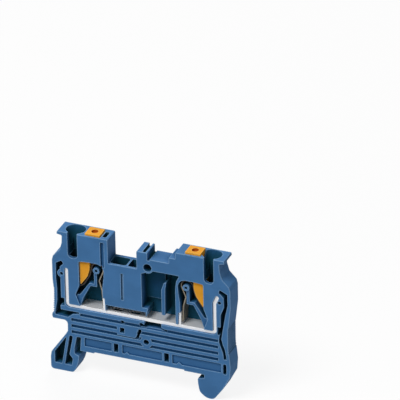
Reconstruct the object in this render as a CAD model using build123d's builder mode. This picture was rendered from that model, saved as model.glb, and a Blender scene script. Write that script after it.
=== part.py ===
from build123d import *

import os

# Feed-through terminal block for a 35 mm rail, open side towards -Y.
# Millimetres. X runs along the block, Y along the rail, Z up.
# The origin is the middle of the rail grip: rail centre line, half the width, rail top.

# Overall sizes
WIDTH = 5.2
BACK_WALL = 1.0
TOP_Z = 33.7
FOOT_Z = -6.73
CLAMP_MIDDLE = 1.0

# Rail interface
RAIL_WIDTH = 35.0
RAIL_THICKNESS = 1.0
RAIL_PLAY = 0.2
HOOK_X = RAIL_WIDTH / 2 + RAIL_PLAY
HOOK_Z = -RAIL_THICKNESS - 0.15
SEAT_INNER_X = 12.3
SEAT_RELIEF = 0.3
FOOT_TOOTH_X = 16.5
HOOK_TOOTH_X = 15.9

# Depths below the open side
DEEP = WIDTH - BACK_WALL
SKIN = 0.9
TOWER_SKIN = 0.45
SHALLOW = 0.35
RIB_DEPTH = 0.5
RECESSED = 0.5
ARM_POCKET_DEPTH = 3.2
HOLE_DEPTH = 3.0

# Top steps
VALLEY_Z = 27.0
VALLEY_X = (-7.8, 0.0)
RIDGE_Z = 32.1
RIDGE_X = 2.9
SLIT_WIDTH = 0.6
SLIT_Z = 29.9
FLAT_Z = 30.3
FLAT_X = 8.7
LEDGE_Z = 31.9
LEDGE_X = 10.5

# Current bar
BAR_THICKNESS = 0.9
BAR_TOP_Z = 13.1
BAR_DEPTH = 0.35
BAR_WIDTH = DEEP - BAR_DEPTH
BAR_END_Z = 22.9
BAR_ENDS_X = {-1: -19.3, 1: 20.75}
BAR_LEAN = 0.75
BAR_LEAN_Z = 21.2
BAR_BEND = 0.35
TAB_THICKNESS = 0.6
TAB_TOP_Z = 16.6
TAB_REACH = 10.2
CONTACT_LENGTH = 2.6
CONTACT_WIDTH = 2.0
CONTACT_X = (-6.3, -1.4)
FIT = 0.05

# Clamping springs
POST_REACH = 12.15
POST_Z = 24.1
POST_RADIUS = 0.9
POST_HOLE = 0.4
STEM_WIDTH = 0.75
RIB_FOOT_REACH = 16.75
SPRING_THICKNESS = 0.35
SPRING_RADIUS = 1.6
SPRING_DEPTH = 1.0
LOOP_WALL = 2.15

# Wire entries
FUNNEL_REACH = 18.4
FUNNEL_FLAT = 0.6
FUNNEL_WALLS = (0.35, 0.25)
FUNNEL_TAPER = 12.5
CHANNEL_WIDTH = 2.6
CHANNEL_DEPTH = DEEP - 0.2
CHANNEL_END_Z = 26.6
CHANNEL_CORNER = 1.2
FUNNEL_CONE = 4.5
WINDOW_OUTER = 16.85

# Push buttons
BUTTON_TOP_Z = 34.2
BUTTON_GAP = 0.1
BUTTON_BACK_GAP = 0.05
BUTTON_THICKNESS = DEEP - TOWER_SKIN - BUTTON_GAP - BUTTON_BACK_GAP
BUTTON_HEADS = {-1: (-14.1, -10.1), 1: (12.95, 17.0)}
BUTTON_TRAVEL = 1.4
WEDGE_TIP_Z = 19.4
WEDGE_TIP_WIDTH = 0.35
WEDGE_ROOT_Z = 26.9
WEDGE_ROOT_REACH = POST_REACH + 1.85
SHOULDER_Z = 31.2
HEAD_UNDER_Z = 31.0
SHAFT_SPARE = 0.3
DIMPLE_RADIUS = 0.9
DIMPLE_DEPTH = 0.7

# Jumper shafts and test hole
SHAFT_SKIN = 0.6
SHAFT_BACK = 0.9
LONG_SHAFT_X = (-7.6, -3.2)
SHORT_SHAFT_X = (-2.7, -0.35)
SHAFT_CORNERS = (0.7, 0.25)
SHAFT_END_Z = 14.0
TEST_HOLE_X = -9.15
TEST_HOLE_WIDTH = 1.1
TEST_HOLE_WALLS = (1.1, 1.3)
TEST_HOLE_LENGTH = 7.0

# Band of ribs below the bar
RIB_VALLEYS = (10.55, 8.75, 6.95, 5.2)
RIB_VALLEY_WIDTH = 0.85
RIB_END_X = 21.6

# End wall grip lines: wall position and first line on each side
GRIP_COUNT = 11
GRIP_PITCH = 0.68
GRIP_DEPTH = 0.22
GRIP_WALLS = {1: (24.33, 7.4), -1: (-22.86, 10.2)}


def level(depth):
    """Plane parallel to the open side, depth millimetres below it."""
    return Plane.XZ.offset(WIDTH / 2 - depth)


def corners(points):
    """Closed outline from (x, z, corner radius) triples."""
    with BuildSketch() as sketch:
        with BuildLine():
            FilletPolyline(*[(x, z) for x, z, r in points], radius=[r for x, z, r in points], close=True)
        make_face()
    return sketch.sketch


def sink(shape, depth, start=0.0):
    """Cut a flat shape into the open side between two depths."""
    extrude(level(start) * shape, amount=start - depth, mode=Mode.SUBTRACT)


def raise_rib(shape, start, depth=DEEP):
    """Stand a flat shape on the back wall, its front edge at a depth."""
    extrude(level(start) * shape, amount=start - depth, mode=Mode.ADD)


def handed(side, points):
    """Points given as reach from the clamp middle line, placed on one side."""
    return [(CLAMP_MIDDLE + side * reach, z, r) for reach, z, r in points]


def box_shape(x0, x1, z0, z1, radius=0.0):
    """Upright rectangle between two corners."""
    return corners([(x0, z0, radius), (x1, z0, radius), (x1, z1, radius), (x0, z1, radius)])


def disc(x, z, radius):
    """Round shape on the open side."""
    with BuildSketch() as sketch:
        with Locations((x, z)):
            Circle(radius)
    return sketch.sketch


# Profile of the moulded body, seen from the open side
def upper_end():
    """Lip, wall and shoulder at one end, from the top down, as reach from the middle."""
    return [
        (22.5, TOP_Z, 0.15),
        (22.6, 32.95, 0.1),
        (21.2, 32.7, 0.3),
        (21.3, 30.6, 0.8),
        (21.9, 28.4, 0.8),
        (23.8, 26.4, 0.8),
        (24.1, 25.2, 0.5),
    ]


LEFT_WALL = [
    (-23.1, 19.5, 1.0),
    (-22.8, 16.5, 1.0),
    (-22.9, 13.5, 1.0),
    (-23.55, 8.9, 0.3),
    (-23.3, 8.27, 0.2),
    (-19.3, 8.27, 1.1),
    (-19.35, 5.2, 0.8),
    (-20.0, 4.1, 0.8),
    (-24.05, -1.7, 0.6),
    (-24.3, -3.2, 0.8),
    (-24.3, FOOT_Z, 0.9),
    (-18.0, FOOT_Z, 1.2),
    (-17.1, -4.8, 0.8),
    (-16.65, -3.3, 0.3),
    (-FOOT_TOOTH_X, -1.75, 0.2),
    (-HOOK_X, HOOK_Z, 0.0),
    (-HOOK_X, 0.3, 0.3),
    (-16.95, 3.95, 0.3),
    (-15.75, 3.95, 0.3),
    (-16.1, 0.0, 0.2),
    (-SEAT_INNER_X, 0.0, 0.0),
    (-SEAT_INNER_X, SEAT_RELIEF, 0.0),
]

RIGHT_WALL = [
    (SEAT_INNER_X, SEAT_RELIEF, 0.0),
    (SEAT_INNER_X, 0.0, 0.0),
    (HOOK_X, 0.0, 0.0),
    (HOOK_X, HOOK_Z, 0.15),
    (HOOK_TOOTH_X, -1.5, 0.2),
    (HOOK_TOOTH_X + 0.1, -3.0, 0.5),
    (16.4, -5.3, 1.8),
    (18.3, FOOT_Z, 2.5),
    (20.2, FOOT_Z, 1.6),
    (22.7, -3.3, 1.5),
    (24.6, 0.4, 1.5),
    (24.85, 3.6, 1.5),
    (24.3, 9.0, 2.0),
    (24.35, 14.3, 2.0),
    (24.8, 18.0, 2.0),
    (25.1, 20.5, 1.5),
]

TOP_STEPS = [
    (LEDGE_X, TOP_Z, 0.2),
    (LEDGE_X, LEDGE_Z, 0.15),
    (FLAT_X, LEDGE_Z, 0.15),
    (FLAT_X, FLAT_Z, 0.15),
    (RIDGE_X + SLIT_WIDTH, FLAT_Z, 0.1),
    (RIDGE_X + SLIT_WIDTH, SLIT_Z, 0.1),
    (RIDGE_X, SLIT_Z, 0.1),
    (RIDGE_X, RIDGE_Z, 0.2),
    (VALLEY_X[1], RIDGE_Z, 0.2),
    (VALLEY_X[1], VALLEY_Z, 0.2),
    (VALLEY_X[0], VALLEY_Z, 0.2),
    (VALLEY_X[0], TOP_Z, 0.35),
]

BODY = (
    handed(-1, upper_end())
    + LEFT_WALL
    + RIGHT_WALL
    + list(reversed(handed(1, upper_end())))
    + TOP_STEPS
)


# Recesses of the clamping units, given as reach from the middle line
def window(side):
    """Opening that shows the button wedge and the spring, with the curved wall round the loop."""
    lower = corners(handed(side, [
        (WINDOW_OUTER, 26.0, 0.4),
        (POST_REACH + 2.05, POST_Z + LOOP_WALL, 0.6),
        (POST_REACH, POST_Z + LOOP_WALL, 0.0),
        (POST_REACH - LOOP_WALL + 0.02, POST_Z, 0.0),
        (POST_REACH - 2.05, 22.5, 0.5),
        (TAB_REACH + 0.3, 19.5, 0.5),
        (TAB_REACH + 0.3, BAR_TOP_Z, 0.0),
        (RIB_FOOT_REACH, BAR_TOP_Z, 0.0),
        (17.9, 16.3, 0.2),
        (WINDOW_OUTER, 19.0, 0.5),
    ]))
    return lower + disc(CLAMP_MIDDLE + side * POST_REACH, POST_Z, LOOP_WALL)


def post_frame(side):
    """Ribs that carry the spring post: slanted foot, short link and stem."""
    return corners(handed(side, [
        (16.95, 16.15, 0.15),
        (POST_REACH + 2.15, 20.0, 0.2),
        (POST_REACH + STEM_WIDTH, 20.0, 0.1),
        (POST_REACH + STEM_WIDTH, POST_Z, 0.0),
        (POST_REACH, POST_Z, 0.0),
        (POST_REACH, 19.3, 0.1),
        (POST_REACH + 1.8, 19.3, 0.3),
        (16.0, 15.4, 0.3),
        (RIB_FOOT_REACH, BAR_TOP_Z, 0.0),
        (17.6, BAR_TOP_Z, 0.0),
        (17.6, 16.15, 0.0),
    ]))


def button_shape(side, grow=0.0, drop=0.0):
    """Side view of a push button; grow widens it and drop lengthens it for its shaft."""
    inner, outer = sorted(abs(x - CLAMP_MIDDLE) for x in BUTTON_HEADS[side])
    wedge_outer = WINDOW_OUTER - BUTTON_GAP
    return corners(handed(side, [
        (inner - grow, BUTTON_TOP_Z + grow, 0.0),
        (outer + grow, BUTTON_TOP_Z + grow, 0.0),
        (outer + grow, SHOULDER_Z, 0.0),
        (wedge_outer + grow, WEDGE_ROOT_Z + 0.2, 0.0),
        (wedge_outer + grow, WEDGE_TIP_Z - drop, 0.0),
        (wedge_outer - WEDGE_TIP_WIDTH, WEDGE_TIP_Z - drop, 0.0),
        (WEDGE_ROOT_REACH + 0.75 - grow, WEDGE_ROOT_Z - 5.1 - drop, 3.0),
        (WEDGE_ROOT_REACH + 0.1 - grow, WEDGE_ROOT_Z - 3.0 - drop, 4.0),
        (WEDGE_ROOT_REACH - grow, WEDGE_ROOT_Z - drop, 0.0),
        (inner - grow, HEAD_UNDER_Z - drop, 0.0),
    ]))


def bar_shape(grow=0.0):
    """Side view of the bent strip, or its seat when grown by the fit."""
    bend = BAR_BEND + BAR_THICKNESS / 2
    middle_z = BAR_TOP_Z - BAR_THICKNESS / 2
    with BuildSketch() as strip:
        with BuildLine():
            FilletPolyline(
                (BAR_ENDS_X[-1], BAR_END_Z + grow),
                (BAR_ENDS_X[-1], middle_z),
                (BAR_ENDS_X[1], middle_z),
                (BAR_ENDS_X[1], BAR_LEAN_Z),
                (BAR_ENDS_X[1] + BAR_LEAN, BAR_END_Z + grow),
                radius=[bend, bend, 0.6],
            )
            offset(amount=BAR_THICKNESS / 2 + grow, side=Side.BOTH)
        make_face()
    return strip.sketch


def tab_shape(side, grow=0.0):
    """Upturned tab of the bar, or its slot when grown by the fit."""
    half = TAB_THICKNESS / 2 + grow
    return corners(handed(side, [
        (TAB_REACH - half, BAR_TOP_Z - 0.2, 0.0),
        (TAB_REACH + half, BAR_TOP_Z - 0.2, 0.0),
        (TAB_REACH + half + 0.1, TAB_TOP_Z + grow, 0.1),
        (TAB_REACH - half + 0.15, TAB_TOP_Z + grow, 0.1),
    ]))


LEFT_CHANNEL = [
    (-20.5, 25.4, 0.2),
    (-22.1, 24.5, 0.3),
    (-22.15, 19.8, 0.5),
    (-21.95, 17.0, 0.5),
    (-22.0, 13.8, 0.5),
    (-22.75, 9.4, 0.3),
    (-19.2, 9.2, 0.3),
    (-17.9, 10.3, 0.3),
    (-16.1, 10.75, 0.1),
    (-16.1, 11.15, 0.1),
    (-21.1, 11.15, 0.2),
    (-21.1, 12.4, 0.1),
    (-20.0, 12.4, 0.0),
    (-20.0, 14.6, 0.1),
    (-20.9, 14.6, 0.1),
    (-20.9, 20.0, 0.2),
    (-21.0, 23.5, 0.2),
    (-20.0, 24.5, 0.2),
]

RIGHT_CHANNEL = [
    (22.2, 25.4, 0.2),
    (24.3, 24.4, 0.3),
    (24.35, 21.3, 0.5),
    (23.7, 18.3, 0.5),
    (23.1, 14.9, 0.5),
    (22.5, 11.3, 0.3),
    (22.9, 9.6, 0.3),
    (23.4, 8.4, 0.3),
    (23.9, 5.5, 0.1),
    (23.1, 5.4, 0.1),
    (22.9, 7.2, 0.3),
    (21.8, 10.3, 0.3),
    (22.0, 12.2, 0.0),
    (21.5, 12.4, 0.0),
    (21.5, 14.6, 0.1),
    (22.35, 14.6, 0.1),
    (22.4, 18.2, 0.3),
    (23.35, 20.5, 0.3),
    (23.3, 23.2, 0.3),
    (22.0, 24.4, 0.2),
]

CENTRE_RECESS = [
    (1.2, 25.9, 0.1),
    (4.3, 27.2, 0.2),
    (11.5, 27.2, 0.3),
    (10.6, 25.5, 0.4),
    (10.3, 23.2, 0.4),
    (10.3, BAR_TOP_Z, 0.0),
    (2.1, BAR_TOP_Z, 0.0),
    (2.8, 16.1, 0.2),
    (1.2, 16.1, 0.1),
]

RECESS_RIB = [
    (6.4, 14.9, 0.2),
    (7.35, 14.9, 0.2),
    (7.45, 22.5, 0.3),
    (7.8, 24.5, 0.15),
    (7.1, 24.1, 0.2),
    (6.4, 22.0, 0.3),
]

BAR_UNDERCUT = [
    (0.3, 10.3, 0.2),
    (1.9, 10.3, 0.2),
    (2.6, 10.5, 0.3),
    (5.8, 10.5, 0.3),
    (7.7, 10.1, 0.1),
    (7.4, 10.9, 0.2),
    (6.3, 11.3, 0.1),
    (6.3, BAR_TOP_Z - BAR_THICKNESS, 0.0),
    (1.7, BAR_TOP_Z - BAR_THICKNESS, 0.0),
    (1.7, 11.2, 0.1),
    (0.9, 11.6, 0.2),
    (0.3, 11.4, 0.2),
]

BAND_NOTCH = [
    (0.1, 9.6, 0.15),
    (0.9, 9.6, 0.15),
    (0.3, 7.6, 0.1),
    (0.0, 6.7, 0.1),
    (-0.7, 6.7, 0.1),
    (-0.45, 7.6, 0.1),
]

ARM_SLOT = [
    (-18.0, 3.9, 0.3),
    (-18.95, 3.9, 0.3),
    (-20.45, -4.75, 0.2),
    (-18.5, -4.75, 0.3),
    (-18.2, -2.8, 0.3),
    (-19.1, -1.6, 0.4),
]

ARM_POCKET = [
    (-19.75, 3.5, 0.1),
    (-23.15, -1.5, 0.3),
    (-23.15, -4.75, 0.2),
    (-21.2, -4.75, 0.2),
]

RECESS_STEP = (1.2, 6.4, 17.6, 27.2)
RECESS_STEP_DEPTH = 3.4
BAR_GAP = (-8.7, 2.2, BAR_TOP_Z, 14.9)
PANEL_GROOVE = (-4.4, -3.8, 17.2, 24.8)
TOWER_GROOVE = (-9.8, -8.85, 25.4, 32.7)
UNDERCUT_DEPTH = 2.8

# Locating rings, end bosses and marker groove: place, then radius or width
RING = (2.9, 27.85)
RING_RADII = (1.55, 1.1)
RING_DEPTH = 3.4
BAND_RING = (2.1, 6.2)
BAND_RING_RADII = (1.6, 0.75)
BOSSES = {-1: (-20.6, 21.6, 1.2), 1: (22.15, 21.6, 1.15)}
BOSS_HOLE = 0.45
POST_FRONT = 0.15
MARKER_X = 1.95
MARKER_WIDTH = 0.9
MARKER_DEPTH = 0.8
MARKER_SKIN = 0.3

# Band of ribs: the flat between them; panels and pockets over the rail seat
BAND_FLAT = [
    (-5.8, 6.8, 0.2),
    (-0.8, 6.8, 0.2),
    (0.0, 9.6, 0.2),
    (-5.8, 9.6, 0.2),
]
RIB_STARTS_X = (-15.8, -18.3, -18.3, -18.3)
END_POCKET = (22.85, 23.75, 1.1, 4.1)
LOWER_PANELS = (
    (-14.8, -7.4, 1.6, 4.1),
    (-4.5, 6.3, 1.6, 4.1),
    (9.1, 22.3, 1.5, 4.1),
)
LOWER_POCKETS = (
    (-6.8, -5.6, 1.6, 4.1),
    (6.9, 8.2, 1.6, 4.1),
)
SMALL_HOLES = (
    (-4.8, -3.9, 10.2, 11.2),
    (-5.0, -3.8, 7.6, 9.1),
)
BUMPS = (-3.3, 10.9)


# Moulded body
with BuildPart() as housing:
    raise_rib(corners(BODY), 0.0, WIDTH)

    # Clamping units: window, wire chamber behind the skin, button shaft
    for side in (-1, 1):
        sink(window(side), DEEP)
        chamber_outer = abs(BAR_ENDS_X[side] - CLAMP_MIDDLE) - BAR_THICKNESS / 2
        chamber = corners(handed(side, [
            (chamber_outer, BAR_TOP_Z, 0.0),
            (WINDOW_OUTER - 0.2, BAR_TOP_Z, 0.0),
            (WINDOW_OUTER - 0.2, CHANNEL_END_Z + 0.5, 0.0),
            (chamber_outer - 0.1, CHANNEL_END_Z + 0.5, 0.0),
        ]))
        sink(chamber, DEEP, SKIN)
        sink(button_shape(side, BUTTON_GAP, BUTTON_TRAVEL + SHAFT_SPARE), DEEP, TOWER_SKIN)

    # Spring posts on their ribs
    for side in (-1, 1):
        post_x = CLAMP_MIDDLE + side * POST_REACH
        raise_rib(post_frame(side), RECESSED)
        raise_rib(disc(post_x, POST_Z, POST_RADIUS), POST_FRONT)
        sink(disc(post_x, POST_Z, POST_HOLE), HOLE_DEPTH)

    # Wire entries: front slot with a round end, and a funnel at the top
    for side in (-1, 1):
        funnel_x = CLAMP_MIDDLE + side * FUNNEL_REACH
        half = CHANNEL_WIDTH / 2
        slot = corners([
            (funnel_x - half, CHANNEL_END_Z, CHANNEL_CORNER),
            (funnel_x + half, CHANNEL_END_Z, CHANNEL_CORNER),
            (funnel_x + half, TOP_Z + 1, 0.0),
            (funnel_x - half, TOP_Z + 1, 0.0),
        ])
        sink(slot, CHANNEL_DEPTH)
        mouth_y = (FUNNEL_WALLS[0] - FUNNEL_WALLS[1]) / 2
        mouth_width = WIDTH - sum(FUNNEL_WALLS)
        with BuildSketch(Plane.XY.offset(TOP_Z)) as mouth:
            with Locations((funnel_x, mouth_y)):
                SlotOverall(mouth_width + FUNNEL_FLAT, mouth_width)
        extrude(mouth.sketch, amount=-FUNNEL_CONE, taper=FUNNEL_TAPER, mode=Mode.SUBTRACT)

    # End channels with the locating bosses beside the bar ends
    for side, channel in ((-1, LEFT_CHANNEL), (1, RIGHT_CHANNEL)):
        boss_x, boss_z, boss_radius = BOSSES[side]
        sink(corners(channel), DEEP)
        raise_rib(disc(boss_x, boss_z, boss_radius), POST_FRONT)
        sink(disc(boss_x, boss_z, BOSS_HOLE), HOLE_DEPTH)

    # Centre: recess with its rib, gap over the bar, panel groove, undercut
    sink(corners(CENTRE_RECESS), DEEP)
    raise_rib(corners(RECESS_RIB), 0.3)
    raise_rib(box_shape(*RECESS_STEP), RECESS_STEP_DEPTH)
    sink(box_shape(*BAR_GAP), DEEP)
    sink(box_shape(*PANEL_GROOVE, 0.1), RIB_DEPTH)
    sink(corners(BAR_UNDERCUT), UNDERCUT_DEPTH)

    # Ring beside the ridge, cut through as the locating hole
    raise_rib(disc(*RING, RING_RADII[0]), 0.0)
    sink(disc(*RING, RING_RADII[1]), RING_DEPTH)

    # Jumper shafts down to the bar, and the test hole in the left tower
    shaft_middle = (SHAFT_SKIN - SHAFT_BACK) / 2
    shaft_span = WIDTH - SHAFT_SKIN - SHAFT_BACK
    with BuildSketch(Plane.XY.offset(VALLEY_Z)) as shafts:
        for (x0, x1), radius in zip((LONG_SHAFT_X, SHORT_SHAFT_X), SHAFT_CORNERS):
            with Locations(((x0 + x1) / 2, shaft_middle)):
                RectangleRounded(x1 - x0, shaft_span, radius)
    extrude(shafts.sketch, amount=SHAFT_END_Z - VALLEY_Z, mode=Mode.SUBTRACT)
    with BuildSketch(Plane.XY.offset(TOP_Z)) as test_hole:
        with Locations((TEST_HOLE_X, (TEST_HOLE_WALLS[0] - TEST_HOLE_WALLS[1]) / 2)):
            RectangleRounded(TEST_HOLE_WIDTH, WIDTH - sum(TEST_HOLE_WALLS), 0.5)
    extrude(test_hole.sketch, amount=-TEST_HOLE_LENGTH, mode=Mode.SUBTRACT)
    sink(box_shape(*TOWER_GROOVE, 0.3), RIB_DEPTH)

    # Marker groove along the ridge
    with BuildSketch(Plane.XY.offset(RIDGE_Z)) as marker:
        with Locations((MARKER_X, MARKER_SKIN)):
            Rectangle(MARKER_WIDTH, WIDTH)
    extrude(marker.sketch, amount=-MARKER_DEPTH, mode=Mode.SUBTRACT)

    # Ribbed band below the bar, with its flat, ring and small holes
    band_flat = corners(BAND_FLAT)
    band_ring = disc(*BAND_RING, BAND_RING_RADII[0])
    for start_x, z in zip(RIB_STARTS_X, RIB_VALLEYS):
        valley = box_shape(start_x, RIB_END_X, z - RIB_VALLEY_WIDTH / 2, z + RIB_VALLEY_WIDTH / 2)
        sink(valley - band_flat - band_ring, RIB_DEPTH)
    sink(disc(*BAND_RING, BAND_RING_RADII[1]), HOLE_DEPTH)
    for x0, x1, z0, z1 in SMALL_HOLES:
        sink(box_shape(x0, x1, z0, z1, 0.2), HOLE_DEPTH)
    sink(corners(BAND_NOTCH), HOLE_DEPTH)

    # Lower panels and pockets over the rail seat
    for x0, x1, z0, z1 in LOWER_PANELS:
        sink(box_shape(x0, x1, z0, z1, 0.2), SHALLOW)
    for x0, x1, z0, z1 in LOWER_POCKETS:
        sink(box_shape(x0, x1, z0, z1, 0.15), HOLE_DEPTH)
    for x in BUMPS:
        raise_rib(corners([(x - 0.9, 1.4, 0.1), (x + 0.9, 1.4, 0.1), (x, 2.2, 0.2)]), 0.0)
    sink(box_shape(*END_POCKET, 0.4), HOLE_DEPTH)

    # Spring arm of the rail foot
    sink(corners(ARM_SLOT), WIDTH)
    sink(corners(ARM_POCKET), ARM_POCKET_DEPTH)

    # Seat of the current bar
    sink(bar_shape(FIT), DEEP)
    for side in (-1, 1):
        sink(tab_shape(side, FIT), DEEP)

    # Fine grip lines across both end walls
    for side, (wall_x, first_z) in GRIP_WALLS.items():
        root_x = wall_x - side * GRIP_DEPTH
        outside_x = root_x + side * 1.2
        for index in range(GRIP_COUNT):
            z = first_z + index * GRIP_PITCH
            groove = corners([(root_x, z, 0.0), (outside_x, z - 0.8, 0.0), (outside_x, z + 0.8, 0.0)])
            sink(groove, WIDTH)

housing.part.label = "housing"


# Current bar: tinned strip with upright ends, two lanced tabs and two contact openings
with BuildPart() as current_bar:
    for shape in (bar_shape(), tab_shape(-1), tab_shape(1)):
        extrude(level(BAR_DEPTH) * shape, amount=-BAR_WIDTH)
    bar_middle = BAR_DEPTH + BAR_WIDTH / 2 - WIDTH / 2
    with BuildSketch(Plane.XY.offset(BAR_TOP_Z)) as contacts:
        with Locations(*[(x, bar_middle) for x in CONTACT_X]):
            RectangleRounded(CONTACT_LENGTH, CONTACT_WIDTH, 0.3)
    extrude(contacts.sketch, amount=-BAR_THICKNESS, mode=Mode.SUBTRACT)

current_bar.part.label = "current_bar"


# Clamping spring: strip bent round its post, one leg on the tab, the other towards the bar end
def clamping_spring(side):
    post_x = CLAMP_MIDDLE + side * POST_REACH
    tab_x = CLAMP_MIDDLE + side * TAB_REACH
    end_x = BAR_ENDS_X[side] - side * (BAR_THICKNESS + SPRING_THICKNESS + FIT) / 2
    with BuildPart() as spring:
        with BuildSketch(level(SPRING_DEPTH)) as strip:
            with BuildLine():
                rest = Vector(post_x - side * 1.52, POST_Z - 0.5)
                crown = Vector(post_x, POST_Z + SPRING_RADIUS)
                press = Vector(post_x + side * 1.48, POST_Z + 0.6)
                loop = ThreePointArc(rest, crown, press)
                Polyline(
                    press,
                    (post_x + side * 2.1, POST_Z - 2.0),
                    (post_x + side * 3.75, POST_Z - 4.9),
                    (end_x, 16.7),
                )
                Polyline(
                    (tab_x + side * 0.55, BAR_TOP_Z + 0.6),
                    (tab_x + side * 0.8, POST_Z - 5.9),
                    (post_x - side * 0.35, POST_Z - 3.2),
                    rest,
                )
                offset(amount=SPRING_THICKNESS / 2, side=Side.BOTH)
            make_face()
        extrude(strip.sketch, amount=SPRING_DEPTH - DEEP)
    return spring.part


# Push button: head with a driver dimple, inclined shank and wedge
def push_button(side):
    front = TOWER_SKIN + BUTTON_GAP
    with BuildPart() as button:
        extrude(level(front) * button_shape(side), amount=-BUTTON_THICKNESS)
        inner, outer = sorted(BUTTON_HEADS[side])
        middle_y = front + BUTTON_THICKNESS / 2 - WIDTH / 2
        with BuildSketch(Plane.XY.offset(BUTTON_TOP_Z)) as dimple:
            with Locations(((inner + outer) / 2, middle_y)):
                Circle(DIMPLE_RADIUS)
        extrude(dimple.sketch, amount=-DIMPLE_DEPTH, mode=Mode.SUBTRACT)
    return button.part


spring_left = clamping_spring(-1)
spring_left.label = "spring_left"
spring_right = clamping_spring(1)
spring_right.label = "spring_right"
button_left = push_button(-1)
button_left.label = "button_left"
button_right = push_button(1)
button_right.label = "button_right"

os.makedirs("parts", exist_ok=True)
export_step(housing.part, "parts/housing.step")
export_step(current_bar.part, "parts/current_bar.step")
export_step(spring_left, "parts/spring_left.step")
export_step(spring_right, "parts/spring_right.step")
export_step(button_left, "parts/button_left.step")
export_step(button_right, "parts/button_right.step")
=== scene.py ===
"""Finishes, clamping springs and studio for a push-in terminal block."""

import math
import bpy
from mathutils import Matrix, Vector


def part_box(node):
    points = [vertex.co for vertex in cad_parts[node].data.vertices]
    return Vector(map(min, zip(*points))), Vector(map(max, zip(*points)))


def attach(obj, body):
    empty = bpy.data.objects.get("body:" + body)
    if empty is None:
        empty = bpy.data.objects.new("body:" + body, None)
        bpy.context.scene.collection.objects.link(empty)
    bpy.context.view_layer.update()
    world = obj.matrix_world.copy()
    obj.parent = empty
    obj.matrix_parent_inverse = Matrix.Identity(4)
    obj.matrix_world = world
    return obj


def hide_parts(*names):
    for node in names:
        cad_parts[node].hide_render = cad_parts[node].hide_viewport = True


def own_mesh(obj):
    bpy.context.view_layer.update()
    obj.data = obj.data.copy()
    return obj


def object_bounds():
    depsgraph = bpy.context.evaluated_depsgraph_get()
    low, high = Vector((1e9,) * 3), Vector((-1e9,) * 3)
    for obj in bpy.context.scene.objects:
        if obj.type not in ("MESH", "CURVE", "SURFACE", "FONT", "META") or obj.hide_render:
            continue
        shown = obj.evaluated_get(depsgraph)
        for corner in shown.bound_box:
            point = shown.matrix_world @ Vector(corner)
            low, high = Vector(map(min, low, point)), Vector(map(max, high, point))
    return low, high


bl_info = {
    "name": "Push-in terminal block",
    "version": (1, 0, 0),
    "blender": (4, 5, 0),
    "location": "3D View > Sidebar > Terminal",
    "description": "Dresses the terminal block: moulded housing, tinned bar, springs and buttons",
    "category": "Object",
}

import bmesh
import bpy
from mathutils import Matrix, Vector

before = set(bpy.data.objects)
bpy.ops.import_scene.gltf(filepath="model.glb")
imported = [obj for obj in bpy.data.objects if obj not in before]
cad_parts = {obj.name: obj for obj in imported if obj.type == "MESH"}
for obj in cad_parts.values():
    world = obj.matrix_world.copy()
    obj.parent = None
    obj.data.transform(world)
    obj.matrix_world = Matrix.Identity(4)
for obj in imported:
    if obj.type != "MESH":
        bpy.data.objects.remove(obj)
CAD_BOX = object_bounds()
MM = 0.001
OPEN_FACE = CAD_BOX[0].y

# Springs, about the block's middle: legs as reach from it and height over the rail's top, in mm
LEFT, RIGHT = -1, 1
MIDDLE = 1.0 * MM
POST_REACH, POST_HEIGHT = 12.15 * MM, 24.1 * MM
FIXED_LEG = ((10.75, 13.7), (11.0, 18.2), (11.75, 20.9))
CLAMPING_LEG = ((14.25, 22.1), (15.9, 19.2))
CLAMPING_ENDS = {LEFT: (-18.65 * MM, 16.7 * MM), RIGHT: (20.1 * MM, 16.7 * MM)}
LOOP_TURNS = {LEFT: (-18, 158), RIGHT: (198, 22)}

# Plastics: widths of the hollows that get painted shade, and depths behind the open face over which
# painted shade grows
RIDGE_WIDTH, GROOVE_WIDTH, HOLLOW_WIDTH = 0.45 * MM, 1.1 * MM, 5 * MM
FLUSH_DEPTH, PANEL_DEPTH, CHAMBER_DEPTH = 0.04 * MM, 0.4 * MM, 3.0 * MM


def tone(red, green, blue):
    """Screen colour from 0 to 255 as linear shader colour."""
    linear = []
    for part in (red, green, blue):
        value = part / 255
        linear.append(value / 12.92 if value <= 0.04045 else ((value + 0.055) / 1.055) ** 2.4)
    return tuple(linear)


def solid(colour, gain=1.0):
    """Colour with its alpha, made lighter or darker by a gain."""
    return tuple(min(part * gain, 1.0) for part in colour[:3]) + (1.0,)


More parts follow.
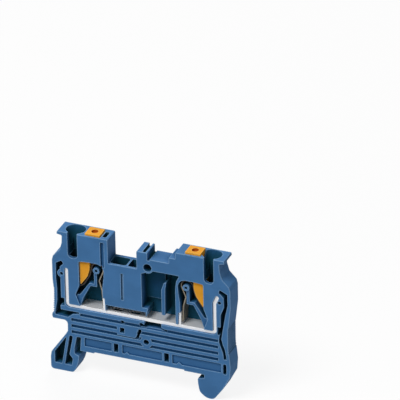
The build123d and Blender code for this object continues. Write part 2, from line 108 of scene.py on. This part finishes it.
# Settings
class BlockFinish(bpy.types.PropertyGroup):
    """Colours and surface sizes of the plastics and metals."""

    housing_colour: bpy.props.FloatVectorProperty(
        name="Housing", description="Colour of the moulded housing",
        subtype="COLOR", min=0, max=1, default=tone(72, 121, 172))
    # Painted highlight along the moulded edges of the housing.
    housing_edge_highlight: bpy.props.FloatVectorProperty(
        name="Housing edges", description="Paler colour along the moulded edges",
        subtype="COLOR", min=0, max=1, default=tone(150, 190, 226))
    housing_shadow: bpy.props.FloatVectorProperty(
        name="Housing hollows", description="Deeper colour in grooves and shallow recesses",
        subtype="COLOR", min=0, max=1, default=tone(34, 84, 134))
    # Painted deep shade in the housing's slots and chambers.
    housing_deep_shade: bpy.props.FloatVectorProperty(
        name="Housing recesses", description="Deeper colour in slots and chambers",
        subtype="COLOR", min=0, max=1, default=tone(18, 68, 84))
    button_colour: bpy.props.FloatVectorProperty(
        name="Buttons", description="Colour of the push buttons",
        subtype="COLOR", min=0, max=1, default=tone(240, 166, 50))
    # Painted highlight along the button edges.
    button_edge_highlight: bpy.props.FloatVectorProperty(
        name="Button edges", description="Paler colour along the button edges",
        subtype="COLOR", min=0, max=1, default=tone(250, 200, 110))
    button_shadow: bpy.props.FloatVectorProperty(
        name="Button hollows", description="Deeper colour where the buttons stand in the housing",
        subtype="COLOR", min=0, max=1, default=tone(206, 122, 26))
    # Painted deep shade in the driver dimples.
    button_deep_shade: bpy.props.FloatVectorProperty(
        name="Button recesses", description="Deeper colour in the driver dimples",
        subtype="COLOR", min=0, max=1, default=tone(190, 98, 20))
    tin_colour: bpy.props.FloatVectorProperty(
        name="Tin", description="Colour of the tinned current bar",
        subtype="COLOR", min=0, max=1, default=tone(249, 250, 252))
    steel_colour: bpy.props.FloatVectorProperty(
        name="Spring steel", description="Colour of the clamping springs",
        subtype="COLOR", min=0, max=1, default=tone(158, 150, 134))
    # Painted shade on the springs' loop crown and clamping leg.
    loop_shade_colour: bpy.props.FloatVectorProperty(
        name="Shaded steel", description="Colour of the tempered loop and clamping leg",
        subtype="COLOR", min=0, max=1, default=tone(46, 36, 34))
    edge_radius: bpy.props.FloatProperty(
        name="Edge radius", description="Rounding of the moulded edges",
        unit="LENGTH", min=0, default=0.06 * MM)
    # Width of the painted edge highlight.
    edge_width: bpy.props.FloatProperty(
        name="Edge width", description="Width of the paler line along the moulded edges",
        unit="LENGTH", min=0, default=0.27 * MM)
    grain_size: bpy.props.FloatProperty(
        name="Grain size", description="Width of the spark-eroded mould grain",
        unit="LENGTH", min=0, default=0.14 * MM)
    grain_depth: bpy.props.FloatProperty(
        name="Grain depth", description="Height of the mould grain",
        unit="LENGTH", min=0, default=0.006 * MM)


class SpringSizes(bpy.types.PropertyGroup):
    """Sizes of the bent clamping springs."""

    thickness: bpy.props.FloatProperty(
        name="Thickness", description="Thickness of the spring strip",
        unit="LENGTH", min=0, default=0.35 * MM)
    loop_radius: bpy.props.FloatProperty(
        name="Loop radius", description="Radius of the loop, to the middle of the strip",
        unit="LENGTH", min=0, default=1.6 * MM)
    bend_radius: bpy.props.FloatProperty(
        name="Bend radius", description="Radius of the bends in the legs",
        unit="LENGTH", min=0, default=0.6 * MM)
    rim: bpy.props.FloatProperty(
        name="Rim", description="Rounding of the tumbled strip edges",
        unit="LENGTH", min=0, default=0.05 * MM)


class StudioSettings(bpy.types.PropertyGroup):
    """Camera, lamps and floor."""

    azimuth: bpy.props.FloatProperty(
        name="Azimuth", description="Turn of the camera round the block",
        subtype="ANGLE", default=math.radians(22.55))
    elevation: bpy.props.FloatProperty(
        name="Elevation", description="Height angle of the camera",
        subtype="ANGLE", default=math.radians(29.05))
    roll: bpy.props.FloatProperty(
        name="Roll", description="Tilt of the camera about its own axis",
        subtype="ANGLE", default=math.radians(1.11))
    distance: bpy.props.FloatProperty(
        name="Distance", description="Distance from the camera to the aim",
        unit="LENGTH", min=0, default=1.37203)
    aim: bpy.props.FloatVectorProperty(
        name="Aim", description="Point that the camera looks at",
        subtype="TRANSLATION", unit="LENGTH", default=(16.4 * MM, 0, 48.51 * MM))
    lens: bpy.props.FloatProperty(
        name="Lens", description="Focal length of the camera",
        unit="CAMERA", min=1, default=499.9)
    ambient: bpy.props.FloatProperty(
        name="Ambient", description="Strength of the light from all round",
        min=0, default=0.22)
    key_power: bpy.props.FloatProperty(
        name="Key lamp", description="Power of the lamp over the front",
        unit="POWER", min=0, default=5.2)
    fill_power: bpy.props.FloatProperty(
        name="Fill lamp", description="Power of the low lamp in front",
        unit="POWER", min=0, default=0.8)
    side_power: bpy.props.FloatProperty(
        name="Side lamp", description="Power of the lamp at the right end",
        unit="POWER", min=0, default=0.5)
    back_power: bpy.props.FloatProperty(
        name="Back lamp", description="Power of the high lamp behind the block",
        unit="POWER", min=0, default=2.6)
    floor_colour: bpy.props.FloatVectorProperty(
        name="Floor", description="Colour of the floor",
        subtype="COLOR", min=0, max=1, default=(0.4, 0.4, 0.4))
    floor_whiteness: bpy.props.FloatProperty(
        name="Floor whiteness", description="Share of plain white in the floor that is seen",
        subtype="FACTOR", min=0, max=1, default=0.85)


# Shader expressions
class Value:
    """Shader socket that takes part in Python arithmetic."""

    def __init__(self, graph, socket):
        self.graph = graph
        self.socket = socket

    def also(self, name):
        """Another output of the same node."""
        return Value(self.graph, self.socket.node.outputs[name])

    def __add__(self, other):
        return self.graph.maths("ADD", self, other)

    __radd__ = __add__

    def __sub__(self, other):
        return self.graph.maths("SUBTRACT", self, other)

    def __rsub__(self, other):
        return self.graph.maths("SUBTRACT", other, self)

    def __mul__(self, other):
        return self.graph.maths("MULTIPLY", self, other)

    __rmul__ = __mul__


class Graph:
    """Nodes of one material or world."""

    def __init__(self, tree):
        self.tree = tree
        tree.nodes.clear()

    def add(self, kind, settings=None, sockets=None, output=0):
        """New node: its settings first, then its sockets; returns one of its outputs."""
        node = self.tree.nodes.new(kind)
        for name, value in (settings or {}).items():
            setattr(node, name, value)
        for name, value in (sockets or {}).items():
            if isinstance(value, Value):
                self.tree.links.new(value.socket, node.inputs[name])
            else:
                node.inputs[name].default_value = value
        return Value(self, node.outputs[output]) if len(node.outputs) else None

    def maths(self, operation, first, second):
        return self.add("ShaderNodeMath", {"operation": operation}, {0: first, 1: second})

    def largest(self, *values):
        found = values[0]
        for value in values[1:]:
            found = self.maths("MAXIMUM", found, value)
        return found

    def span(self, value, low, high):
        """Value moved from low..high to 0..1 and held there."""
        return self.add("ShaderNodeMapRange", {"interpolation_type": "SMOOTHSTEP"},
                        {"Value": value, "From Min": low, "From Max": high})

    def mix(self, factor, first, second):
        """Colour between two colours."""
        return self.add("ShaderNodeMix", {"data_type": "RGBA"}, {0: factor, 6: first, 7: second}, 2)

    def place(self, stretch=(1, 1, 1)):
        """Position on the piece in metres, scaled along each axis."""
        point = self.add("ShaderNodeTexCoord", output="Object")
        return self.add("ShaderNodeVectorMath", {"operation": "MULTIPLY"}, {0: point, 1: stretch})

    def along(self, axis, output="Object"):
        """Position on the piece along one axis, 0 to 2, in metres, or its normal there."""
        point = self.add("ShaderNodeTexCoord", output=output)
        return self.add("ShaderNodeSeparateXYZ", None, {0: point}, axis)

    def noise(self, point, size, detail=3.0):
        return self.add("ShaderNodeTexNoise", None,
                        {"Vector": point, "Scale": 1 / size, "Detail": detail, "Roughness": 0.6})

    def near_edge(self, width):
        """1 along outer edges, 0 away from them."""
        inside = self.add("ShaderNodeAmbientOcclusion",
                          {"inside": True, "only_local": True, "samples": 8},
                          {"Distance": width}, "AO")
        return 1 - inside

    def in_corner(self, width, alone=True):
        """1 deep in corners and slots, 0 on open faces; other pieces count unless alone."""
        open_side = self.add("ShaderNodeAmbientOcclusion", {"only_local": alone, "samples": 8},
                             {"Distance": width}, "AO")
        return 1 - open_side

    def relief(self, height, depth, radius):
        """Normal with rounded edges and a fine relief."""
        rounded = self.add("ShaderNodeBevel", {"samples": 6}, {"Radius": radius})
        return self.add("ShaderNodeBump", None,
                        {"Height": height, "Distance": depth, "Strength": 0.6, "Normal": rounded})

    def surface(self, shader):
        self.add("ShaderNodeOutputMaterial", None, {"Surface": shader})


def new_finish(name):
    """Empty material and its graph."""
    material = bpy.data.materials.new(name)
    material.use_nodes = True
    return material, Graph(material.node_tree)


def moulded_plastic(name, colour, highlight_colour, shadow_colour, deep_shade_colour, finish, sunk_shade=0.0):
    """Polyamide with mould grain, colour drift, flow streaks, painted highlights along the edges
    and painted shade in grooves and hollows.
    """
    material, graph = new_finish(name)
    drift = graph.noise(graph.place(), 7 * MM, 2)
    streak = graph.noise(graph.place((0.12, 1, 1)), 0.9 * MM, 4)
    grain = graph.noise(graph.place(), finish.grain_size, 5)
    shade = graph.mix(graph.span(drift, 0.3, 0.7), solid(colour, 0.93), solid(colour, 1.06))
    shade = graph.mix(0.22 * graph.span(streak, 0.45, 0.75), shade, solid(colour, 1.2))
    inward = graph.along(1)
    facing_out = graph.span(graph.along(1, "Normal"), -0.4, -0.9)
    below = graph.span(inward, OPEN_FACE + PANEL_DEPTH, OPEN_FACE + CHAMBER_DEPTH)
    # Painted shade on front faces set back from the open face, stronger in grooves.
    sunk = graph.span(inward, OPEN_FACE + FLUSH_DEPTH, OPEN_FACE + PANEL_DEPTH) * facing_out
    # Painted shade in grooves.
    groove = graph.span(graph.in_corner(GROOVE_WIDTH), 0.1, 0.55)
    shade = graph.mix(sunk_shade * sunk * (1 + 0.6 * groove), shade, solid(shadow_colour))
    shade = graph.mix(0.5 * groove, shade, solid(shadow_colour, 0.9))
    # Painted shade in the finest grooves and between ridges.
    ridges = graph.span(graph.in_corner(RIDGE_WIDTH), 0.08, 0.35)
    shade = graph.mix(0.6 * ridges, shade, solid(shadow_colour, 0.7))
    # Painted shade in hollows, stronger deeper behind the open face.
    hollow = graph.in_corner(HOLLOW_WIDTH) * (0.8 + 1.2 * below)
    shade = graph.mix(graph.span(hollow, 0.05, 0.5), shade, solid(shadow_colour))
    # Painted deep shade in slots and chambers.
    depth = graph.span(hollow, 0.3, 0.9)
    shade = graph.mix(0.97 * depth, shade, solid(deep_shade_colour))
    # Painted highlight along the moulded edges, broken up by the grain.
    edge_highlight = graph.span(graph.near_edge(finish.edge_width), 0.03, 0.34) * graph.span(grain, 0.2, 0.6)
    shade = graph.mix(0.65 * edge_highlight * (1 - 0.8 * depth), shade, solid(highlight_colour))
    relief = graph.relief(grain + 0.5 * streak, finish.grain_depth, finish.edge_radius)
    graph.surface(graph.add("ShaderNodeBsdfPrincipled", None, {
        "Base Color": shade,
        "Roughness": 0.56 + 0.16 * grain - 0.1 * edge_highlight + 0.25 * depth,
        "IOR": 1.53,
        "Specular IOR Level": 0.08,
        "Normal": relief,
    }))
    return material


def strip_metal(name, colour, roughness, finish, tarnish, shaded=None):
    """Rolled strip with fine lines, soft tarnish, bright edges and, if a shade colour is given,
    painted shade where other pieces close in and on the loop's crown and clamping leg.
    """
    material, graph = new_finish(name)
    lines = graph.noise(graph.place((0.05, 1, 0.05)), 0.11 * MM, 4)
    cloud = graph.noise(graph.place(), 2.2 * MM, 4)
    grain = graph.noise(graph.place(), 0.6 * finish.grain_size, 3)
    shade = graph.mix(tarnish * graph.span(cloud, 0.4, 0.75), solid(colour), solid(colour, 0.6))
    shade = graph.mix(0.18 * lines, shade, solid(colour, 0.5))
    bright = graph.near_edge(0.12 * MM)
    shade = graph.mix(0.5 * bright, shade, solid(colour, 1.15))
    if shaded:
        # Painted shade: the steel turns nearly black where other pieces close in round it.
        hidden = graph.span(graph.in_corner(2 * MM, alone=False), 0.35, 0.8)
        shade = graph.mix(0.95 * hidden, shade, solid(colour, 0.04))
        # Painted shade in the given colour on the loop's crown, its outer side and the clamping
        # leg.
        crown = graph.span(graph.along(2), POST_HEIGHT + 0.1 * MM, POST_HEIGHT + 0.9 * MM)
        offset = graph.along(0) - MIDDLE
        reach = graph.add("ShaderNodeMath", {"operation": "ABSOLUTE"}, {0: offset})
        outer = graph.span(reach, POST_REACH + 0.25 * MM, POST_REACH + 1.05 * MM)
        shade = graph.mix(0.92 * graph.largest(crown, outer), shade, solid(shaded))
    graph.surface(graph.add("ShaderNodeBsdfPrincipled", None, {
        "Base Color": shade,
        "Metallic": 0.5,
        "Roughness": roughness + 0.14 * cloud + 0.08 * lines - 0.08 * bright,
        "Normal": graph.relief(0.7 * lines + 0.3 * grain, 0.5 * finish.grain_depth, 0.04 * MM),
    }))
    return material


def dress(node, material):
    """Put one finish on every slot of a CAD node."""
    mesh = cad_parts[node].data
    mesh.materials.clear()
    mesh.materials.append(material)


# Clamping springs
def arc(centre, radius, start, end, steps):
    """Points of an arc, angles in degrees, in the plane of the open side."""
    points = []
    for index in range(steps + 1):
        angle = math.radians(start + (end - start) * index / steps)
        points.append(centre + radius * Vector((math.cos(angle), math.sin(angle))))
    return points


def soften(points, radius, steps=6):
    """Line through points with its inner corners bent to a radius."""
    line = [points[0]]
    for before, corner, after in zip(points, points[1:], points[2:]):
        back = (before - corner).normalized()
        ahead = (after - corner).normalized()
        half = back.angle(ahead) / 2
        shorter = min((before - corner).length, (after - corner).length)
        reach = min(radius / math.tan(half), 0.45 * shorter)
        start, end = corner + back * reach, corner + ahead * reach
        for index in range(steps + 1):
            share = index / steps
            line.append(start.lerp(corner, share).lerp(corner.lerp(end, share), share))
    line.append(points[-1])
    return line


def strip_mesh(name, line, front, back, thickness, rim):
    """Bent strip with rounded edges, swept along a line of the open side."""
    low, high = rim - thickness / 2, thickness / 2 - rim
    corners = ((front + rim, low, 180), (back - rim, low, 270),
               (back - rim, high, 0), (front + rim, high, 90))
    section = []
    for depth, height, start in corners:
        section += arc(Vector((depth, height)), rim, start, start + 90, steps=3)
    mesh = bmesh.new()
    rings = []
    for index, point in enumerate(line):
        ahead = line[min(index + 1, len(line) - 1)] - line[max(index - 1, 0)]
        normal = Vector((-ahead.y, ahead.x)).normalized()
        ring = []
        for depth, height in section:
            spot = point + normal * height
            ring.append(mesh.verts.new((spot.x, depth, spot.y)))
        rings.append(ring)
    count = len(section)
    for first, second in zip(rings, rings[1:]):
        for index in range(count):
            other = (index + 1) % count
            mesh.faces.new((first[index], first[other], second[other], second[index]))
    mesh.faces.new(list(reversed(rings[0])))
    mesh.faces.new(rings[-1])
    bmesh.ops.recalc_face_normals(mesh, faces=mesh.faces)
    for face in mesh.faces:
        face.smooth = True
    data = bpy.data.meshes.new(name)
    mesh.to_mesh(data)
    mesh.free()
    data.set_sharp_from_angle(angle=math.radians(50))
    piece = bpy.data.objects.new(name, data)
    bpy.context.scene.collection.objects.link(piece)
    smooth = piece.modifiers.new("Flat faces", "WEIGHTED_NORMAL")
    smooth.keep_sharp = True
    return piece


def spring_line(side, sizes):
    """Middle line of one spring, from the tab round the loop to the clamping end."""
    def spots(leg):
        return [Vector((MIDDLE + side * reach * MM, height * MM)) for reach, height in leg]

    post = Vector((MIDDLE + side * POST_REACH, POST_HEIGHT))
    loop = arc(post, sizes.loop_radius, *LOOP_TURNS[side], steps=40)
    fixed_leg = [*spots(FIXED_LEG), loop[0]]
    clamping_leg = [loop[-1], *spots(CLAMPING_LEG), Vector(CLAMPING_ENDS[side])]
    bend = sizes.bend_radius
    return soften(fixed_leg, bend) + loop[1:-1] + soften(clamping_leg, bend)


# Operators
class TERMINAL_OT_housing(bpy.types.Operator):
    """Give the moulded housing its finish"""

    bl_idname = "terminal.housing"
    bl_label = "Housing"

    def execute(self, context):
        finish = context.scene.terminal_finish
        material = moulded_plastic("housing_plastic", finish.housing_colour,
                                   finish.housing_edge_highlight, finish.housing_shadow,
                                   finish.housing_deep_shade, finish, sunk_shade=0.4)
        dress("housing", material)
        return {"FINISHED"}


class TERMINAL_OT_current_bar(bpy.types.Operator):
    """Give the current bar its tinned finish"""

    bl_idname = "terminal.current_bar"
    bl_label = "Current bar"

    def execute(self, context):
        finish = context.scene.terminal_finish
        dress("current_bar", strip_metal("tinned_strip", finish.tin_colour, 0.34, finish, 0.12))
        return {"FINISHED"}


class TERMINAL_OT_buttons(bpy.types.Operator):
    """Give both push buttons their finish"""

    bl_idname = "terminal.buttons"
    bl_label = "Push buttons"

    def execute(self, context):
        finish = context.scene.terminal_finish
        material = moulded_plastic("button_plastic", finish.button_colour,
                                   finish.button_edge_highlight, finish.button_shadow,
                                   finish.button_deep_shade, finish)
        for node in ("button_left", "button_right"):
            dress(node, material)
        return {"FINISHED"}


class TERMINAL_OT_springs(bpy.types.Operator):
    """Bend both clamping springs from strip steel"""

    bl_idname = "terminal.springs"
    bl_label = "Clamping springs"

    def execute(self, context):
        finish = context.scene.terminal_finish
        sizes = context.scene.terminal_springs
        material = strip_metal("spring_strip", finish.steel_colour, 0.3, finish, 0.35,
                               finish.loop_shade_colour)
        for side, hand in ((LEFT, "left"), (RIGHT, "right")):
            node = "spring_" + hand
            low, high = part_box(node)
            piece = strip_mesh("clamping_spring_" + hand, spring_line(side, sizes),
                               low.y, high.y, sizes.thickness, sizes.rim)
            piece.data.materials.append(material)
            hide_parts(node)
            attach(piece, "block")
            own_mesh(piece)
        return {"FINISHED"}


class TERMINAL_OT_studio(bpy.types.Operator):
    """Set the pale floor, the soft lamps and the camera"""

    bl_idname = "terminal.studio"
    bl_label = "Studio"

    def execute(self, context):
        studio = context.scene.terminal_studio
        context.scene.view_settings.view_transform = "Standard"
        self.floor(context, studio)
        self.light(context, studio)
        self.camera(context, studio)
        return {"FINISHED"}

    def seen(self, graph):
        """1 for rays that the camera, glass and metal see."""
        path = graph.add("ShaderNodeLightPath", output="Is Camera Ray")
        return graph.largest(path, path.also("Is Glossy Ray"), path.also("Is Transmission Ray"))

    def floor(self, context, studio):
        mesh = bmesh.new()
        bmesh.ops.create_circle(mesh, cap_ends=True, segments=96, radius=3.0)
        bmesh.ops.translate(mesh, verts=mesh.verts, vec=(0, 0, CAD_BOX[0].z))
        data = bpy.data.meshes.new("floor")
        mesh.to_mesh(data)
        mesh.free()
        floor = bpy.data.objects.new("floor", data)
        context.scene.collection.objects.link(floor)
        material, graph = new_finish("floor_paint")
        mottle = graph.noise(graph.place(), 30 * MM, 3)
        colour = tuple(studio.floor_colour)
        seen = self.seen(graph)
        shade = graph.mix(mottle, solid(colour, 0.98), solid(colour, 1.02))
        shade = graph.mix(seen, shade, (1, 1, 1, 1))
        paint = graph.add("ShaderNodeBsdfDiffuse", None, {"Color": shade})
        white = graph.add("ShaderNodeEmission", None, {"Color": (1, 1, 1, 1), "Strength": 1.0})
        graph.surface(graph.add("ShaderNodeMixShader", None, {
            0: studio.floor_whiteness * seen, 1: paint, 2: white}))
        data.materials.append(material)

    def light(self, context, studio):
        world = bpy.data.worlds.new("studio")
        world.use_nodes = True
        context.scene.world = world
        graph = Graph(world.node_tree)
        strength = studio.ambient + (1 - studio.ambient) * self.seen(graph)
        sky = graph.add("ShaderNodeBackground", None, {"Color": (1, 1, 1, 1), "Strength": strength})
        graph.add("ShaderNodeOutputWorld", None, {"Surface": sky})
        lamps = (
            ("key", studio.key_power, (-0.2, -0.42, 0.78), 0.4),
            ("fill", studio.fill_power, (-0.1, -0.9, 0.25), 0.5),
            ("side", studio.side_power, (0.85, -0.1, 0.3), 0.5),
            ("back", studio.back_power, (-0.15, 0.8, 0.6), 0.5),
        )
        centre = (CAD_BOX[0] + CAD_BOX[1]) / 2
        for name, power, spot, size in lamps:
            lamp = bpy.data.lights.new(name, "AREA")
            lamp.energy = power
            lamp.shape = "DISK"
            lamp.size = size
            holder = bpy.data.objects.new(name, lamp)
            context.scene.collection.objects.link(holder)
            holder.location = spot
            holder.rotation_euler = (centre - Vector(spot)).to_track_quat("-Z", "Y").to_euler()

    def camera(self, context, studio):
        data = bpy.data.cameras.new("camera")
        data.lens = studio.lens
        data.sensor_width = 36.0
        data.clip_start = 0.05
        data.clip_end = 20.0
        camera = bpy.data.objects.new("camera", data)
        context.scene.collection.objects.link(camera)
        turn = (Matrix.Rotation(studio.azimuth, 4, "Z")
                @ Matrix.Rotation(math.pi / 2 - studio.elevation, 4, "X")
                @ Matrix.Rotation(-studio.roll, 4, "Z"))
        back = turn @ Vector((0, 0, studio.distance))
        camera.matrix_world = Matrix.Translation(Vector(studio.aim) + back) @ turn
        context.scene.camera = camera


class TERMINAL_PT_panel(bpy.types.Panel):
    """Steps and settings of the terminal block"""

    bl_idname = "TERMINAL_PT_panel"
    bl_label = "Terminal block"
    bl_space_type = "VIEW_3D"
    bl_region_type = "UI"
    bl_category = "Terminal"

    def draw(self, context):
        layout = self.layout
        for step in STEPS:
            layout.operator(step.bl_idname)
        for group in SETTINGS:
            settings = getattr(context.scene, group)
            for name in settings.__annotations__:
                layout.prop(settings, name)


STEPS = (
    TERMINAL_OT_housing,
    TERMINAL_OT_current_bar,
    TERMINAL_OT_springs,
    TERMINAL_OT_buttons,
    TERMINAL_OT_studio,
)
SETTINGS = {
    "terminal_finish": BlockFinish,
    "terminal_springs": SpringSizes,
    "terminal_studio": StudioSettings,
}


def register():
    for group in (*SETTINGS.values(), *STEPS, TERMINAL_PT_panel):
        bpy.utils.register_class(group)
    for name, group in SETTINGS.items():
        setattr(bpy.types.Scene, name, bpy.props.PointerProperty(type=group))


def unregister():
    for name in SETTINGS:
        delattr(bpy.types.Scene, name)
    for group in (TERMINAL_PT_panel, *reversed(STEPS), *SETTINGS.values()):
        bpy.utils.unregister_class(group)


def main():
    register()
    for step in STEPS:
        area, name = step.bl_idname.split(".")
        getattr(getattr(bpy.ops, area), name)()


if __name__ == "__main__":
    main()
